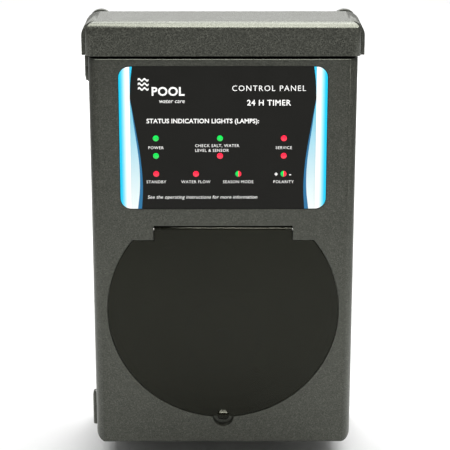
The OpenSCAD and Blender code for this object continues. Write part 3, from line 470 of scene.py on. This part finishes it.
dress(["front_cover"], m_cover)
dress(["rear_case", "wall_ears"], m_case)
dress(["top_hood"], m_hood)
dress(["window_door"], m_window)
dress(["label_plate"], m_label)
dress(["leds_green"], m_green_led)
dress(["leds_red"], m_red_led)
dress(["leds_two_colour"], m_two_led)
dress(["control_pod", "control_panel", "output_knob", "mode_rocker", "season_rocker", "rocker_frames",
       "boost_switch_body", "breaker_body", "gland_bodies", "gland_caps", "gland_locknuts"], m_black)
dress(["case_gasket", "window_bumpers", "gland_seals"], m_rubber)
dress(["hood_screws", "ear_screws", "cover_hinge_pins", "led_board_screws", "window_hinge_pins",
       "pod_screws", "panel_screws", "potentiometer_nut", "boost_button_ring", "reset_nut",
       "transformer_frame", "transformer_screws", "main_board_screws", "rectifier_screw"], m_steel)
dress(["terminal_screws", "earth_stud"], m_brass)
dress(["heat_sink", "output_potentiometer"], m_alu)
dress(["led_board", "main_board"], m_board)
dress(["led_resistors", "rectifier", "capacitors"], m_chip)
dress(["timer_case", "timer_dial", "knob_insert", "terminal_block", "board_connector"], m_white)
dress(["timer_bezel"], m_grey)
dress(["timer_tappets", "timer_hub", "relays"], m_blue)
dress(["override_slider", "reset_button"], m_red)
dress(["boost_button"], m_green)
dress(["transformer_core"], m_core)
dress(["transformer_coils"], m_coil)

for part, width in (("front_cover", 0.5 * MM), ("top_hood", 0.5 * MM), ("rear_case", 0.5 * MM),
                    ("window_door", 0.35 * MM), ("label_plate", 0.2 * MM), ("wall_ears", 0.6 * MM)):
    soften(part, width)


# ---------- printed panel ----------

def side_print(side):
    """The coloured band, the pale lens and its deep blue outline at one side of the label."""
    tag = "left" if side < 0 else "right"
    margin = 0.25 * MM
    low, high = label_low[2] + margin, label_high[2] - margin
    edge, r = label_high[0] - margin, 8.75 * MM
    inner = 73.4 * MM

    def put(name, pts, y, mat):
        plate(name + "_" + tag, [(side * x, z) for x, z in pts], y, INK_DEPTH, mat,
              "cover")

    pts = [(inner, low), (edge - r, low)]
    pts += [(edge - r + r * math.sin(t), low + r - r * math.cos(t)) for t in
            [math.radians(a) for a in range(9, 91, 9)]]
    pts += [(edge - r + r * math.cos(t), high - r + r * math.sin(t)) for t in
            [math.radians(a) for a in range(0, 91, 9)]]
    pts += [(inner, high)]
    put("print_band", pts, label_y - LAYER_TOP, m_band)

    def line(rows):
        """A smooth line through points in millimetres from the window's centre."""
        return [(x * MM, circle_z + z * MM) for x, z in curve_points(rows)]

    # the two curves bulge towards the label's middle, and the dark one shows beside the pale one
    dark = line([(73.2, 176), (71.6, 166.7), (69.2, 152.2), (66.7, 136.6), (65.2, 124.6), (64.3, 112.6),
                 (64.1, 100.5), (65.0, 86.4)])
    light = line([(73.3, 175), (72.0, 166.7), (70.2, 152.2), (68.1, 136.6), (66.8, 124.6), (66.3, 112.6),
                  (66.6, 100.5), (68.2, 86.4)])
    under = inner + 0.3 * MM
    back = [(under, low), (under, circle_z + 176 * MM)]
    put("print_outline", dark + back, label_y - LAYER_LOW, m_navy)
    put("print_lens", light + back, label_y - LAYER_MID, m_lens)
    sliver = line([(71.3, 202), (72.7, 190.7), (73.3, 178.7)])
    put("print_sliver", sliver + [(under, circle_z + 178 * MM), (under, high)],
        label_y - LAYER_LOW, m_cyan)


side_print(-1)
side_print(1)


def caption(name, text, x, z, cap, align="LEFT", **kw):
    """White lettering on the label. Its place is in millimetres from the window's centre."""
    letters(name, text, x * MM, circle_z + z * MM, cap * MM, label_y - LAYER_LOW, m_print, "cover",
            align, slot="label_film", **kw)


caption("print_word_pool", "POOL", -56.5, 179.0, 7.0, bold=0.25 * MM, space=1.05)
caption("print_word_care", "water care", -50.5, 173.0, 3.4, slant=0.2)
caption("print_title", "CONTROL PANEL", 36, 182.6, 4.6, "CENTER", space=1.2)
caption("print_subtitle", "24 H TIMER", 36, 171.0, 4.6, "CENTER", space=1.1, bold=0.12 * MM)
caption("print_heading", "STATUS INDICATION LIGHTS (LAMPS):", -60.5, 156.7, 3.7,
        space=1.02, bold=0.1 * MM)
SMALL_CAP = 2.4
for name, text, x, z, align in (
        ("power", "POWER", -53.3, 135.6, "CENTER"),
        ("check_1", "CHECK SALT, WATER", -22.3, 137.3, "LEFT"),
        ("check_2", "LEVEL & SENSOR", -22.3, 133.4, "LEFT"),
        ("service", "SERVICE", 48.1, 135.6, "CENTER"),
        ("standby", "STANDBY", -53.3, 107.6, "CENTER"),
        ("flow", "WATER FLOW", -21.8, 107.6, "CENTER"),
        ("season", "SEASON MODE", 12.0, 107.6, "CENTER"),
        ("polarity", "POLARITY", 48.1, 107.6, "CENTER")):
    caption("print_" + name, text, x, z, SMALL_CAP, align, space=1.12)
caption("print_plus", "+", 42.2, 113.4, 3.4, "CENTER", bold=0.2 * MM)
caption("print_minus", "-", 53.4, 113.4, 3.4, "CENTER", bold=0.2 * MM)
caption("print_note", "See the operating instructions for more information", -60.5, 94.8, 2.9,
        slant=0.2, space=1.04)


def wave(i):
    """One of three plain wavy lines that stand for water."""
    x0, pitch, half_line, swing = -66.8, 3.6, 0.75, 0.8
    z0 = circle_z + (191.5 - i * pitch) * MM
    xs = [x0 + k * 0.42 for k in range(21)]

    def edge(x, side):
        return x * MM, z0 + (swing * math.sin((x - x0) * 1.5) + side * half_line) * MM

    outline = [edge(x, 1) for x in xs] + [edge(x, -1) for x in reversed(xs)]
    plate("print_wave_%d" % i, outline, label_y - LAYER_TOP, INK_DEPTH, m_print,
          "cover")


for i in range(3):
    wave(i)


# ---------- marks behind the window ----------

def hour_numbers():
    """Even hours around the timer's dial, turned to face its centre."""
    foot_r, cap = 14.8 * MM, 3.0 * MM
    low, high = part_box("timer_dial")
    cx, cz = (low[0] + high[0]) / 2, (low[2] + high[2]) / 2
    for hour in range(2, 25, 2):
        ob = letters("print_hour_%d" % hour, str(hour), 0, foot_r, cap, low[1] - 0.02 * MM,
                     m_black_ink, "dial", "CENTER", bold=0.06 * MM)
        a = 2 * math.pi * hour / 24
        for v in ob.data.vertices:
            x, z = v.co.x, v.co.z
            v.co.x = cx + x * math.cos(a) + z * math.sin(a)
            v.co.z = cz - x * math.sin(a) + z * math.cos(a)


def knob_scale():
    """Eleven marks around the output knob, with longer ones at its ends and middle."""
    half_w = 0.3 * MM
    low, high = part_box("output_knob")
    cx, cz = (low[0] + high[0]) / 2, (low[2] + high[2]) / 2
    panel_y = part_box("control_panel")[0][1]
    r0 = (high[0] - low[0]) / 2 + 1.2 * MM
    for i in range(11):
        a = math.radians(-150 + 30 * i)
        r1 = r0 + (2.4 if i % 5 == 0 else 1.5) * MM
        ux, uz = math.sin(a), math.cos(a)
        corners = [(cx + r * ux + side * half_w * uz, cz + r * uz - side * half_w * ux)
                   for r, side in ((r0, -1), (r0, 1), (r1, 1), (r1, -1))]
        plate("print_scale_%d" % i, corners, panel_y - 0.03 * MM, 0.02 * MM, m_print, "cover")


hour_numbers()
knob_scale()
